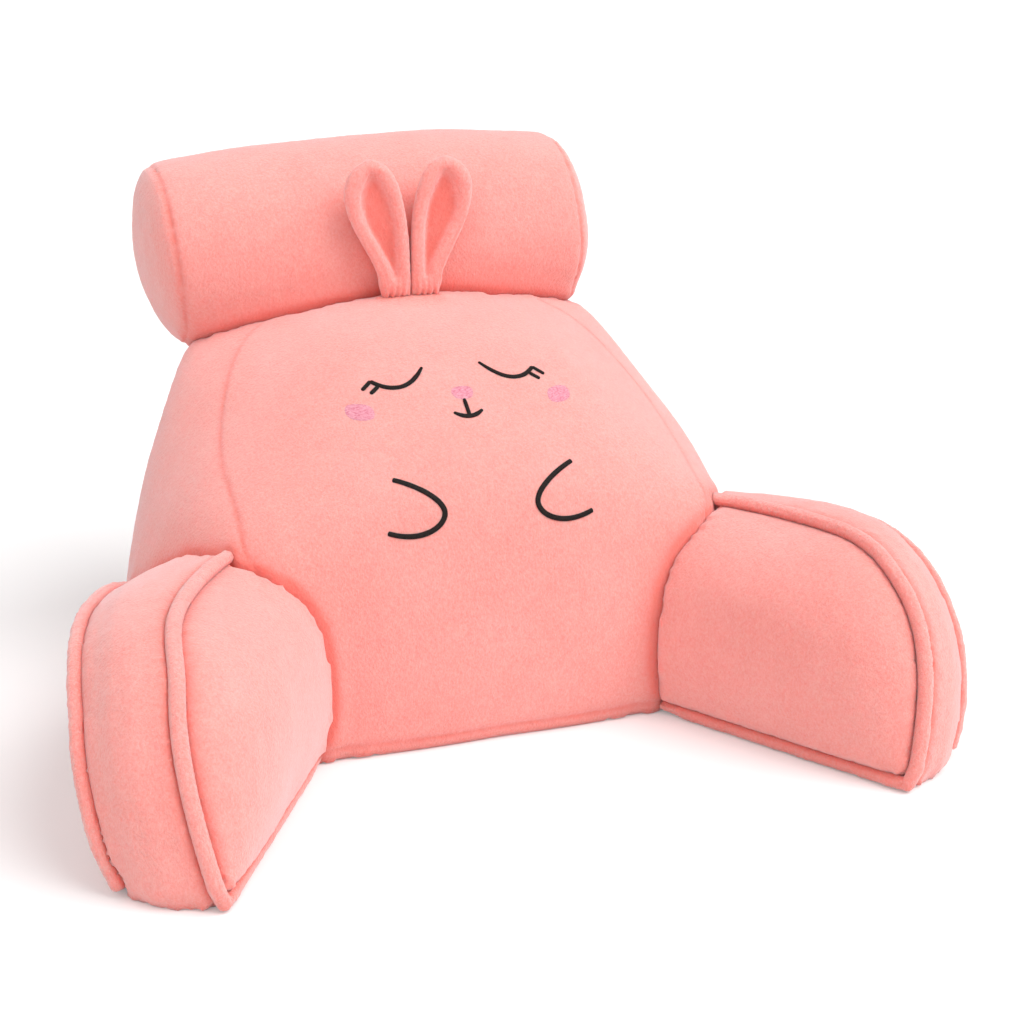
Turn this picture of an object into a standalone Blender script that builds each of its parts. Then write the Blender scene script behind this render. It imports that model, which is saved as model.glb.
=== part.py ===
"""A reading pillow with arms: backrest, two arms with piping, a neck roll and two ears.

Metres, +Z up, the sitter's side faces -Y.  The lengths below are taken from the
line where the backrest's front meets the floor (y = 0); one empty carries every
part and moves that line so that the origin ends under the middle of the whole.
"""
import math

import bmesh
import bpy
from mathutils import Vector

# ---------------------------------------------------------------- driving sizes
GAP = 0.0003             # clear space between two sewn pieces
FRONT_TO_MIDDLE = 0.1087 # from the backrest's front line back to the origin

# Backrest: one row for each height, in metres.
#   height, front: centre of the front face, bow: how far the front falls back
#   at BOW_X, corner: where front and side panels meet, side: the widest place
BACKREST_COLUMNS = ("height", "front", "bow", "corner_x", "corner_y", "side_x", "side_y", "back")
BACKREST_ROWS = (
    (0.000, 0.000, 0.000, 0.162, 0.012, 0.262, 0.165, 0.350),
    (0.060, -0.004, 0.001, 0.178, 0.016, 0.270, 0.165, 0.358),
    (0.123, -0.002, 0.002, 0.190, 0.018, 0.264, 0.165, 0.362),
    (0.160, 0.002, 0.003, 0.196, 0.022, 0.254, 0.178, 0.362),
    (0.185, 0.006, 0.004, 0.198, 0.034, 0.244, 0.198, 0.361),
    (0.210, 0.014, 0.007, 0.194, 0.072, 0.232, 0.215, 0.359),
    (0.243, 0.042, 0.018, 0.186, 0.142, 0.214, 0.247, 0.356),
    (0.270, 0.076, 0.022, 0.172, 0.182, 0.199, 0.272, 0.352),
    (0.290, 0.106, 0.024, 0.153, 0.206, 0.185, 0.286, 0.347),
    (0.306, 0.148, 0.022, 0.127, 0.228, 0.161, 0.293, 0.341),
    (0.318, 0.188, 0.016, 0.095, 0.246, 0.122, 0.294, 0.334),
    (0.326, 0.224, 0.010, 0.056, 0.264, 0.074, 0.295, 0.325),
)
BACKREST_TOP = 0.331     # top of the crown, under the roll
BOW_X = 0.100            # half width at which the bow column is measured ...
BOW_SHARE = 0.55         # ... or this share of the half width where that is less
REAR_IN = 0.80           # rear corner's x as a share of the widest half width
REAR_FORWARD = 0.040     # rear corner stands this far before the back panel
REAR_FLAT_IN = 0.50      # the back panel stays flat out to this share of the half width ...
REAR_FLAT_FORWARD = 0.004  # ... where it has come forward by this much
HEM_RADIUS = 0.012       # rounding of the backrest's bottom edge
HEM_ANGLES = (0.0, 25.0, 50.0, 75.0)  # its sections, in degrees
RING_SAMPLES = 42        # points round one section of the backrest
HEIGHT_SAMPLES = 20      # sections between floor and crown ...
HEIGHT_CROWDING = 0.15   # ... which lie closer together towards the crown

# Arms: s runs out from the backrest along the floor seam, w goes outwards from it.
ARM_FOOT = (0.157, 0.0)  # where the inner floor seam meets the backrest
ARM_HEADING = math.radians(30.3)  # floor seam's turn outwards from straight ahead
ARM_ROOT = 0.095         # how far the arm's form runs back behind the foot
ARM_TOP = 0.174          # height of the inner top seam
ARM_TOP_OUTER = 0.153    # height of the outer top seam
OUTER_DROP = 0.043       # the outer top seam falls by this much at the root ...
OUTER_DROP_POWER = 1.3   # ... ever faster towards the backrest
ARM_REACH = 0.225        # the nose at the inner seam, along s
ARM_REACH_OUTER = 0.215
NOSE_START = 0.096       # the inner top seam turns down from here
NOSE_START_OUTER = 0.087
NOSE_POWER = 2.8         # squareness of the nose's curve
NOSE_POWER_OUTER = 2.3
NOSE_FOOT = 0.004        # the floor seam starts this far behind the nose
NOSE_LAST = 0.6          # share of one step left between the nose and the floor
ARM_LEAN = 0.27          # the seams lean outwards by this share of their height
TOP_BOW = 0.023          # the top seam swings outwards in plan ...
TOP_BOW_AT = 0.050       # ... most at this s
TOP_BOW_HALF = 0.130     # ... and fades to nothing this far away
STRIP_WIDTH = 0.080      # boxing strip between the two piped seams
ROOT_FLARE = 0.036       # the strip widens towards the backrest by this much at s = 0 ...
FLARE_START = 0.190      # ... beginning here ...
FLARE_POWER = 2.5        # ... ever faster ...
FLARE_END = -0.030       # ... levelling off here ...
FLARE_EASE = 0.045       # ... within about this length
FOOT_TUCK = 0.007        # the outer floor seam is tucked in by this much ...
FOOT_TUCK_TOP = 0.035    # ... below this height
FOOT_SPREAD = 0.050      # extra width of the strip under the arm, at its root
SPREAD_FROM = -0.048     # ... which is full up to here
STRIP_CROWN = 0.018      # how far the filled strip stands out between its seams
STRIP_POWER = 0.75       # low values keep its middle broad
STRIP_FOOT = 0.60        # share of that crown where the nose meets the floor ...
STRIP_FOOT_RUN = 0.050   # ... fading to none this far behind it
INNER_CROWN = 0.061      # how far the inner panel stands out of its seam's plane
INNER_MIDDLE = (0.072, 0.122)  # s and z where it stands out most
INNER_POWER = 0.44       # low values dome the panel close to its seam
INNER_FOOT = 0.50        # share of the crown that is left at the floor ...
INNER_FOOT_TOP = 0.120   # ... growing to all of it at this height
OUTER_CROWN = 0.024      # the same for the outer panel
OUTER_MIDDLE = (0.070, 0.080)
OUTER_POWER = 0.50
SEAM_HEIGHT = 0.0070     # the floor seams run this far above the floor
ARM_RING_TOP = 8         # points on the straight top, the nose, the floor, the root
ARM_RING_NOSE = 13
ARM_RING_FLOOR = 10
ARM_RING_ROOT = 4
CORNER_PASSES = 2        # how much rounder each ring of a panel is than the next one out
PANEL_STEPS = (0.28, 0.52, 0.72, 0.87, 0.955)   # rings of a panel, centre to seam
STRIP_STEPS = (0.12, 0.38, 0.62, 0.88)    # columns of the boxing strip

# Piping: a padded welt along each of the arms' four seams.
PIPING_RADIUS = 0.0062
PIPING_OUT = 0.0012      # its middle stands this far out of the seam
PIPING_SPACING = 0.015   # distance between two points of its path
PIPING_FACETS = 2        # steps in each quarter of its round section
WELD = 0.00005           # points closer than this are one

# Neck roll: a barrel across the top, closed by two domed discs.
ROLL_HALF = 0.183        # half length between its end seams
ROLL_RADIUS = 0.0925     # at the middle
ROLL_END_RADIUS = 0.0820 # at the end seams
ROLL_CAP_CROWN = 0.022   # how far a disc domes out
ROLL_MIDDLE = (-0.0125, 0.325, 0.358)
ROLL_SKEW = 0.065        # sewn a little askew: its upper side slides to the left ...
ROLL_TILT = 0.024        # ... and its left end sinks
ROLL_TUCK = 0.045        # its underside, pressed on the backrest, is shorter by this share
ROLL_STEPS = 34          # points round the roll
ROLL_POWER = 2.6         # how late the barrel narrows
ROLL_DISC = ((0.0, 1.0), (0.40, 0.94), (0.72, 0.68), (0.92, 0.30))  # shares of radius and crown
ROLL_SEAM_DEPTH = 0.0022 # the end seam lies this deep ...
ROLL_SEAM_REACH = 0.0075 # ... and draws in the cloth this far along the barrel
ROLL_BARREL = (0.86, 0.68, 0.46, 0.22)  # shares of the half length

# Ears: padded leaves with a thick rim and a hollow front.
EAR_HEIGHT = 0.1185
EAR_BASE = (0.2235, 0.323)   # y and z of an ear's foot
EAR_HALF_THICK = 0.0070
EAR_SAMPLES = 14         # points up each side of an ear
# share of an ear's height, and how far from the pillow's middle its edges are there;
# both feet meet in the middle, and the ears lean apart from a third of the height up
EAR_ROWS = (
    (0.00, 0.0008, 0.0258),
    (0.10, 0.0008, 0.0268),
    (0.20, 0.0009, 0.0290),
    (0.34, 0.0013, 0.0372),
    (0.54, 0.0034, 0.0492),
    (0.70, 0.0066, 0.0552),
    (0.80, 0.0096, 0.0560),
    (0.90, 0.0146, 0.0518),
    (0.96, 0.0210, 0.0456),
    (1.00, 0.0305, 0.0350),
)
EAR_RIM_INNER = 0.0094   # width of the rim towards the other ear ...
EAR_RIM_OUTER = 0.0110   # ... and away from it
EAR_HOLLOW_LOW = 0.17    # the hollow runs between these shares of the height
EAR_HOLLOW_HIGH = 0.915
EAR_HOLLOW_TIP = 0.04    # the hollow's ends are rounded off from these shares of its length ...
EAR_HOLLOW_POWER = 0.35  # ... low values make them blunt
EAR_HOLLOW_LEAST = 0.0005  # half width of the hollow where the rims meet
EAR_MIDDLE = 0.55        # share of the height that all rings close in on
# rings across an ear, from the back's middle over the rim into the hollow:
#   rim: 0 at the outline to 1 at the hollow's edge, depth: share of half thickness
EAR_BACK_RINGS = ((0.95, 0.86), (0.55, 0.96), (0.22, 0.80), (0.05, 0.42))
EAR_FRONT_RINGS = (
    (0.00, -0.05), (0.05, -0.50), (0.24, -0.88), (0.50, -1.00), (0.78, -0.80), (0.97, -0.30))
EAR_FLOOR_DEPTH = 0.12   # share of half thickness at which the hollow's floor lies
EAR_FLOOR_IN = 0.25      # the floor is level from this share of the way in

PLUSH_PINK = (0.93, 0.36, 0.31, 1.0)
PLUSH_ROUGHNESS = 0.95


# ------------------------------------------------------------------ small tools
def clear_scene():
    """Remove every object that the new file starts with."""
    for obj in list(bpy.data.objects):
        bpy.data.objects.remove(obj, do_unlink=True)


def new_collection(name):
    """Make a collection under the scene's own."""
    group = bpy.data.collections.new(name)
    bpy.context.scene.collection.children.link(group)
    return group


def fabric(name, tint):
    """A matt plush material; tint darkens or lightens the common pink a little."""
    finish = bpy.data.materials.new(name)
    finish.use_nodes = True
    shader = finish.node_tree.nodes["Principled BSDF"]
    shader.inputs["Base Color"].default_value = tuple(c * tint for c in PLUSH_PINK[:3]) + (1.0,)
    shader.inputs["Roughness"].default_value = PLUSH_ROUGHNESS
    shader.inputs["Metallic"].default_value = 0.0
    return finish


def named(columns, row):
    """Give a table's row as a dictionary of its columns."""
    return dict(zip(columns, row))


def smooth_between(knots, values, at):
    """Read a smooth curve through (knot, value) pairs; values may be vectors."""
    last = len(knots) - 1
    if at <= knots[0]:
        return values[0]
    if at >= knots[last]:
        return values[last]
    i = max(k for k in range(last) if knots[k] <= at)

    def slope(k):
        low = max(k - 1, 0)
        high = min(k + 1, last)
        return (values[high] - values[low]) / (knots[high] - knots[low])

    span = knots[i + 1] - knots[i]
    t = (at - knots[i]) / span
    start, end = values[i], values[i + 1]
    return (start * (2 * t**3 - 3 * t**2 + 1) + slope(i) * (span * (t**3 - 2 * t**2 + t))
            + end * (3 * t**2 - 2 * t**3) + slope(i + 1) * (span * (t**3 - t**2)))


def mesh_object(name, mesh, group, carrier, finish=None):
    """Link a mesh as an object that hangs on the carrier."""
    obj = bpy.data.objects.new(name, mesh)
    group.objects.link(obj)
    obj.parent = carrier
    if finish:
        mesh.materials.append(finish)
    return obj


def stacked_rings(name, rings):
    """Skin a stack of rings; a ring of one point closes an end as a pole."""
    form = bmesh.new()
    made = [[form.verts.new(point) for point in ring] for ring in rings]
    for low, high in zip(made, made[1:]):
        count = max(len(low), len(high))
        for i in range(count):
            j = (i + 1) % count
            if len(low) == 1:
                form.faces.new((low[0], high[j], high[i]))
            elif len(high) == 1:
                form.faces.new((low[i], low[j], high[0]))
            else:
                form.faces.new((low[i], low[j], high[j], high[i]))
    bmesh.ops.recalc_face_normals(form, faces=form.faces)
    bmesh.ops.triangulate(form, faces=form.faces, quad_method="SHORT_EDGE")
    mesh = bpy.data.meshes.new(name)
    form.to_mesh(mesh)
    form.free()
    mesh.shade_smooth()
    return mesh


def as_cutter(obj):
    """Mark an object as a guide that is not part of the pillow."""
    obj.hide_render = True
    obj.display_type = "WIRE"
    return obj


def grown(name, mesh, cutters, carrier, by=GAP):
    """A copy of a form, grown by the gap, to cut its neighbours with."""
    cutter = as_cutter(mesh_object(name, mesh.copy(), cutters, carrier))
    grow = cutter.modifiers.new("grow", "DISPLACE")
    grow.strength = by
    grow.mid_level = 0.0
    return cutter


def cut(obj, *cutters):
    """Take each cutter out of the object."""
    for cutter in cutters:
        saw = obj.modifiers.new("cut by " + cutter.name, "BOOLEAN")
        saw.operation = "DIFFERENCE"
        saw.solver = "EXACT"
        saw.object = cutter


# --------------------------------------------------------------------- backrest
def backrest_section(height):
    """Points round the backrest at one height, from the front's middle, seen from above."""
    rows = [named(BACKREST_COLUMNS, row) for row in BACKREST_ROWS]
    heights = [row["height"] for row in rows]

    def read(column):
        return smooth_between(heights, [row[column] for row in rows], height)

    front, back = read("front"), read("back")
    side = Vector((read("side_x"), read("side_y")))
    half = [
        Vector((0.0, front)),
        Vector((min(BOW_X, BOW_SHARE * side.x), front + read("bow"))),
        Vector((read("corner_x"), read("corner_y"))),
        side,
        Vector((side.x * REAR_IN, back - REAR_FORWARD)),
        Vector((side.x * REAR_FLAT_IN, back - REAR_FLAT_FORWARD)),
        Vector((0.0, back)),
    ]
    loop = half + [Vector((-p.x, p.y)) for p in reversed(half[1:-1])]
    wrapped = loop[-2:] + loop + loop[:3]
    lengths = [0.0]
    for a, b in zip(wrapped, wrapped[1:]):
        lengths.append(lengths[-1] + (b - a).length)
    start, stop = lengths[2], lengths[2 + len(loop)]
    step = (stop - start) / RING_SAMPLES
    return [smooth_between(lengths, wrapped, start + step * i) for i in range(RING_SAMPLES)]


def drawn_in(points, by):
    """Move a ring of points inwards, square to its own line."""
    count = len(points)
    moved = []
    for i, point in enumerate(points):
        along = (points[(i + 1) % count] - points[i - 1]).normalized()
        moved.append(point + Vector((-along.y, along.x)) * by)
    return moved


def backrest_mesh():
    """The filled backrest: flat under, drawn in at the hem, crowned at the top."""
    low = backrest_section(HEM_RADIUS)
    rings = [[Vector((0.0, 0.5 * (low[0].y + BACKREST_ROWS[0][-1]), 0.0))]]
    for angle in HEM_ANGLES:
        turn = math.radians(angle)
        inset = HEM_RADIUS * (1.0 - math.sin(turn))
        height = HEM_RADIUS * (1.0 - math.cos(turn))
        rings.append([Vector((p.x, p.y, height)) for p in drawn_in(low, inset)])
    highest = BACKREST_ROWS[-1][0]
    for k in range(HEIGHT_SAMPLES):
        share = k / (HEIGHT_SAMPLES - 1)
        crowded = share + HEIGHT_CROWDING * share * (1.0 - share)
        height = HEM_RADIUS + (highest - HEM_RADIUS) * crowded
        rings.append([Vector((p.x, p.y, height)) for p in backrest_section(height)])
    last = BACKREST_ROWS[-1]
    rings.append([Vector((0.0, 0.5 * (last[1] + last[-1]), BACKREST_TOP))])
    return stacked_rings("backrest form", rings)


# ------------------------------------------------------------------------- arms
def arm_side_profile(top, reach, nose_start, power, drop):
    """The seam as a closed (s, z) loop: along the top, down the nose, back on the floor, up."""
    loop = []
    straight = nose_start + ARM_ROOT
    for i in range(ARM_RING_TOP):
        s = -ARM_ROOT + straight * i / ARM_RING_TOP
        loop.append((s, top - drop * ((nose_start - s) / straight) ** OUTER_DROP_POWER))
    for i in range(ARM_RING_NOSE):
        angle = 0.5 * math.pi * i / (ARM_RING_NOSE - NOSE_LAST)
        s = nose_start + (reach - nose_start) * math.sin(angle) ** (2.0 / power)
        loop.append((s, max(top * math.cos(angle) ** (2.0 / power), SEAM_HEIGHT)))
    floor_start = reach - NOSE_FOOT
    for i in range(ARM_RING_FLOOR):
        loop.append((floor_start - (floor_start + ARM_ROOT) * i / ARM_RING_FLOOR, SEAM_HEIGHT))
    for i in range(ARM_RING_ROOT):
        loop.append((-ARM_ROOT, SEAM_HEIGHT + (top - drop - SEAM_HEIGHT) * i / ARM_RING_ROOT))
    return loop


def inner_offset(s, z):
    """How far outwards the inner seam's plane lies at a place on it."""
    swing = max(0.0, 1.0 - ((s - TOP_BOW_AT) / TOP_BOW_HALF) ** 2)
    return ARM_LEAN * (z - SEAM_HEIGHT) + TOP_BOW * swing * (z / ARM_TOP) ** 2


def outer_offset(s, z):
    """The same for the outer seam: further out by the strip, its flare and its foot."""
    levelled = 0.5 * (s + FLARE_END + math.hypot(s - FLARE_END, FLARE_EASE))
    flare = ROOT_FLARE * (max(0.0, FLARE_START - levelled) / FLARE_START) ** FLARE_POWER
    run = max(0.0, min(1.0, (s - SPREAD_FROM) / (ARM_REACH_OUTER - SPREAD_FROM)))
    spread = FOOT_SPREAD * (1.0 - run * run) * max(0.0, 1.0 - z / ARM_TOP_OUTER)
    tuck = FOOT_TUCK * max(0.0, 1.0 - z / FOOT_TUCK_TOP)
    return inner_offset(s, z) + STRIP_WIDTH + flare + spread - tuck


def arm_world(s, w, z, side):
    """From the arm's own (s, w, z) to the pillow's frame; side is 1 or -1."""
    x = ARM_FOOT[0] + s * math.sin(ARM_HEADING) + w * math.cos(ARM_HEADING)
    y = ARM_FOOT[1] - s * math.cos(ARM_HEADING) + w * math.sin(ARM_HEADING)
    return Vector((side * x, y, z))


def arm_seams():
    """The inner and outer seam loops in (s, w, z)."""
    inner = [Vector((s, inner_offset(s, z), z))
             for s, z in arm_side_profile(ARM_TOP, ARM_REACH, NOSE_START, NOSE_POWER, 0.0)]
    profile = arm_side_profile(
        ARM_TOP_OUTER, ARM_REACH_OUTER, NOSE_START_OUTER, NOSE_POWER_OUTER, OUTER_DROP)
    outer = [Vector((s, outer_offset(s, z), z)) for s, z in profile]
    return inner, outer


def rounded(loop, passes):
    """Even out a closed loop's corners."""
    for _ in range(passes):
        after = loop[1:] + loop[:1]
        before = loop[-1:] + loop[:-1]
        loop = [(a + 2.0 * b + c) / 4.0 for a, b, c in zip(before, loop, after)]
    return loop


def domed(seam, middle, surface):
    """Rings of one panel, from its middle to just inside its seam.

    surface(s, z, step) gives how far outwards the panel lies at a place, step being
    0 in the panel's middle and 1 on its seam.
    """
    centre = Vector((middle[0], 0.0, middle[1]))
    rings = []
    for order, step in enumerate((0.0,) + PANEL_STEPS):
        softened = rounded(seam, CORNER_PASSES * (len(PANEL_STEPS) - order)) if step else seam[:1]
        ring = []
        for point in softened:
            flat = centre + (point - centre) * step
            ring.append(Vector((flat.x, surface(flat.x, flat.z, step), flat.z)))
        rings.append(ring)
    return rings


def inner_surface(s, z, step):
    """The inner panel: domed towards the sitter, most of all just under the top seam."""
    share = INNER_FOOT + (1.0 - INNER_FOOT) * min(1.0, z / INNER_FOOT_TOP)
    return inner_offset(s, z) - INNER_CROWN * share * (1.0 - step * step) ** INNER_POWER


def strip_rings(inner, outer):
    """Columns of the boxing strip between the seams, crowned but flat on the floor."""
    middle = sum(inner + outer, Vector()) / (2 * len(inner))
    rings = []
    for step in STRIP_STEPS:
        ring = []
        for a, b in zip(inner, outer):
            point = a.lerp(b, step)
            crown = STRIP_CROWN * (4.0 * step * (1.0 - step)) ** STRIP_POWER
            if point.z < SEAM_HEIGHT + GAP:
                point.z = 0.0
                behind = ARM_REACH - NOSE_FOOT - point.x
                point.x += crown * STRIP_FOOT * max(0.0, 1.0 - behind / STRIP_FOOT_RUN)
            else:
                away = Vector((point.x - middle.x, 0.0, point.z - middle.z)).normalized()
                point += away * crown
            ring.append(point)
        rings.append(ring)
    return rings


def outer_surface(s, z, step):
    """The outer panel: a shallow dome."""
    return outer_offset(s, z) + OUTER_CROWN * (1.0 - step * step) ** OUTER_POWER


def arm_mesh(side):
    """One filled arm: two domed panels joined by the boxing strip."""
    inner, outer = arm_seams()
    rings = domed(inner, INNER_MIDDLE, inner_surface)
    rings += [inner] + strip_rings(inner, outer) + [outer]
    rings += reversed(domed(outer, OUTER_MIDDLE, outer_surface))
    placed = [[arm_world(p.x, p.y, max(p.z, 0.0), side) for p in ring] for ring in rings]
    return stacked_rings("arm form", placed)


# ----------------------------------------------------------------------- piping
def tube_mesh(name, path, radius):
    """A closed tube along a path, as a mesh with its end caps welded."""
    wire = bpy.data.curves.new(name, "CURVE")
    wire.dimensions = "3D"
    wire.bevel_depth = radius
    wire.bevel_resolution = PIPING_FACETS
    wire.use_fill_caps = True
    spline = wire.splines.new("POLY")
    spline.points.add(len(path) - 1)
    for knot, point in zip(spline.points, path):
        knot.co = (*point, 1.0)
    holder = bpy.data.objects.new(name, wire)
    bpy.context.scene.collection.objects.link(holder)
    depsgraph = bpy.context.evaluated_depsgraph_get()
    mesh = bpy.data.meshes.new_from_object(holder.evaluated_get(depsgraph))
    bpy.data.objects.remove(holder, do_unlink=True)
    form = bmesh.new()
    form.from_mesh(mesh)
    bmesh.ops.remove_doubles(form, verts=form.verts, dist=WELD)
    bmesh.ops.recalc_face_normals(form, faces=form.faces)
    bmesh.ops.triangulate(form, faces=form.faces, quad_method="FIXED")
    form.to_mesh(mesh)
    form.free()
    mesh.shade_smooth()
    return mesh


def piping_path(seam, side, outwards):
    """Even points along a seam, from its root end over the nose and back on the floor."""
    middle = sum(seam, Vector()) / len(seam)
    open_seam = seam[: len(seam) - ARM_RING_ROOT + 1]
    raised = []
    for point in open_seam:
        away = Vector((point.x - middle.x, 0.0, point.z - middle.z)).normalized()
        shifted = point + away * PIPING_OUT + Vector((0.0, outwards * PIPING_OUT, 0.0))
        raised.append(arm_world(*shifted, side))
    lengths = [0.0]
    for a, b in zip(raised, raised[1:]):
        lengths.append(lengths[-1] + (b - a).length)
    count = round(lengths[-1] / PIPING_SPACING)
    path = [smooth_between(lengths, raised, lengths[-1] * i / count) for i in range(count + 1)]
    return [Vector((p.x, p.y, max(p.z, PIPING_RADIUS + 2.0 * GAP))) for p in path]


# -------------------------------------------------------------------- neck roll
def roll_profile():
    """Stations of the roll as (distance along it, radius), one end's middle to the other's."""
    end = []
    for share, crown in ROLL_DISC:
        end.append((ROLL_HALF + ROLL_CAP_CROWN * crown, ROLL_END_RADIUS * share))
    end.append((ROLL_HALF, ROLL_END_RADIUS - ROLL_SEAM_DEPTH))
    for along in [ROLL_HALF - ROLL_SEAM_REACH] + [ROLL_HALF * share for share in ROLL_BARREL]:
        narrowed = (ROLL_RADIUS - ROLL_END_RADIUS) * (along / ROLL_HALF) ** ROLL_POWER
        end.append((along, ROLL_RADIUS - narrowed))
    return end + [(0.0, ROLL_RADIUS)] + [(-along, radius) for along, radius in reversed(end)]


def roll_mesh():
    """The neck roll: a barrel whose sections slide sideways with their height."""
    rings = []
    for along, radius in roll_profile():
        ring = []
        for i in range(ROLL_STEPS if radius else 1):
            angle = 2.0 * math.pi * i / ROLL_STEPS
            y, z = radius * math.cos(angle), radius * math.sin(angle)
            tucked = along * (1.0 - ROLL_TUCK * max(0.0, -z / ROLL_RADIUS) ** 1.5)
            slid = Vector((tucked - ROLL_SKEW * z, y, z + ROLL_TILT * along))
            ring.append(Vector(ROLL_MIDDLE) + slid)
        rings.append(ring)
    return stacked_rings("roll form", rings)


# ------------------------------------------------------------------------- ears
def ear_edges(share):
    """How far an ear's inner and outer edge are from the middle at a share of its height."""
    shares = [row[0] for row in EAR_ROWS]
    return tuple(smooth_between(shares, [row[column] for row in EAR_ROWS], share) for column in (1, 2))


def ear_outline():
    """Outline and hollow edge of an ear as matching (x, height) loops."""
    shares = [0.5 * (1.0 - math.cos(math.pi * i / EAR_SAMPLES)) for i in range(EAR_SAMPLES + 1)]
    outline, hollow = [], []
    for outer, share in [(1, share) for share in shares] + [(0, share) for share in reversed(shares)]:
        outline.append(Vector((ear_edges(share)[outer], 0.0, share * EAR_HEIGHT)))
        level = EAR_HOLLOW_LOW + (EAR_HOLLOW_HIGH - EAR_HOLLOW_LOW) * share
        within = min(max(share, EAR_HOLLOW_TIP), 1.0 - EAR_HOLLOW_TIP)
        left, right = ear_edges(level)
        left, right = left + EAR_RIM_INNER, right - EAR_RIM_OUTER
        room = max(0.5 * (right - left), EAR_HOLLOW_LEAST)
        room *= math.sin(math.pi * within) ** EAR_HOLLOW_POWER
        centre = 0.5 * (left + right)
        hollow.append(Vector((centre + (room if outer else -room), 0.0, level * EAR_HEIGHT)))
    return outline, hollow


def ear_mesh(side):
    """One padded ear: a rounded rim round a hollow front, pinched at its foot."""
    outline, hollow = ear_outline()
    middle = Vector((0.5 * sum(ear_edges(EAR_MIDDLE)), 0.0, EAR_MIDDLE * EAR_HEIGHT))

    def at_depth(points, depth):
        return [point + Vector((0.0, depth * EAR_HALF_THICK, 0.0)) for point in points]

    def ring(rim, depth):
        return at_depth([a.lerp(b, rim) for a, b in zip(outline, hollow)], depth)

    rings = [at_depth([middle], EAR_BACK_RINGS[0][1])]
    rings += [ring(*row) for row in EAR_BACK_RINGS + EAR_FRONT_RINGS]
    rings.append(at_depth([p.lerp(middle, EAR_FLOOR_IN) for p in hollow], EAR_FLOOR_DEPTH))
    rings.append(at_depth([middle], EAR_FLOOR_DEPTH))
    foot_y, foot_z = EAR_BASE
    placed = [[Vector((side * p.x, foot_y + p.y, foot_z + p.z)) for p in loop] for loop in rings]
    return stacked_rings("ear form", placed)


# --------------------------------------------------------------------- assembly
def main():
    """Build the pillow."""
    clear_scene()
    pieces = new_collection("reading_pillow")
    cutters = new_collection("cutters")
    carrier = bpy.data.objects.new("pillow_frame", None)
    pieces.objects.link(carrier)
    carrier.location = (0.0, -FRONT_TO_MIDDLE, 0.0)

    plush = fabric("plush", 1.0)
    welt = fabric("plush_welt", 0.94)
    ear_plush = fabric("plush_ear", 0.97)

    backrest_form = backrest_mesh()
    backrest = mesh_object("backrest", backrest_form, pieces, carrier, plush)
    backrest_grown = grown("backrest cutter", backrest_form, cutters, carrier)

    roll_form = roll_mesh()
    mesh_object("neck_roll", roll_form, pieces, carrier, plush)
    roll_grown = grown("roll cutter", roll_form, cutters, carrier)
    cut(backrest, roll_grown)

    inner, outer = arm_seams()
    for hand, side in (("right", 1.0), ("left", -1.0)):
        arm = mesh_object("arm_" + hand, arm_mesh(side), pieces, carrier, plush)
        for place, seam, outwards in (("inner", inner, -1.0), ("outer", outer, 1.0)):
            path = piping_path(seam, side, outwards)
            name = "piping_" + place + "_" + hand
            piping = mesh_object(name, tube_mesh(name, path, PIPING_RADIUS), pieces, carrier, welt)
            groove = tube_mesh(name + " cutter", path, PIPING_RADIUS + GAP)
            groove_cutter = as_cutter(mesh_object(name + " cutter", groove, cutters, carrier))
            cut(piping, backrest_grown)
            cut(arm, groove_cutter)
        cut(arm, backrest_grown)
        ear = mesh_object("ear_" + hand, ear_mesh(side), pieces, carrier, ear_plush)
        cut(ear, backrest_grown, roll_grown)


main()
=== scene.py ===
"""Looks of a plush reading pillow with arms, a neck roll and two ears.

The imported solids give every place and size.  Each filled piece is copied from its
solid, blown up a little like a stuffed cover, drawn in along its seams and given a
short pile.  The closed eyes, nose, mouth, cheeks and paws are sewn on last, on the
finished front.
"""

import logging
import math
from contextlib import contextmanager
from dataclasses import dataclass, field
from enum import Enum
from typing import Callable, Iterable, Iterator, Sequence

import bmesh
import bpy
import numpy as np
from bmesh.types import BMEdge, BMVert, BMesh
from bpy.types import Material, Mesh, Node, NodeSocket, NodeTree, Object
from mathutils import Euler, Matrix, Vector, noise
from mathutils.bvhtree import BVHTree
from mathutils.kdtree import KDTree


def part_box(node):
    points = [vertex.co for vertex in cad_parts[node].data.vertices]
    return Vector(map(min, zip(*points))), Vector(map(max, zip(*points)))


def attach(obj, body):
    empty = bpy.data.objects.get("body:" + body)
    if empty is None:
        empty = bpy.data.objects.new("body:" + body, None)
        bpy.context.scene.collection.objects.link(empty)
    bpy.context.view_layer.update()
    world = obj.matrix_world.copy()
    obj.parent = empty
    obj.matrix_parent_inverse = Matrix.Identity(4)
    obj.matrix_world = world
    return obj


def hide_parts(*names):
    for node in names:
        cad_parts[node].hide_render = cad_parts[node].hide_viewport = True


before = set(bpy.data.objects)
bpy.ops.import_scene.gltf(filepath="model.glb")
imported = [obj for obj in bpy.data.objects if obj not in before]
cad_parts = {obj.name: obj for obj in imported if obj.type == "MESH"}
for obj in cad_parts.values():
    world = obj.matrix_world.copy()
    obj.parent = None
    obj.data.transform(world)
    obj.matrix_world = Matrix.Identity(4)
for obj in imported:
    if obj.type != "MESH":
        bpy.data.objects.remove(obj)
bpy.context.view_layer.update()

LOG = logging.getLogger("reading_pillow")

BODY = "root"
WELD = 0.00001            # points closer than this are one
FRONT_TO_MIDDLE = 0.1087  # from the line where front and floor meet back to the origin
FLOOR_CLEAR = 0.0004      # cloth that rests on the floor lies this high
WHITE = (1.0, 1.0, 1.0, 1.0)

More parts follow.
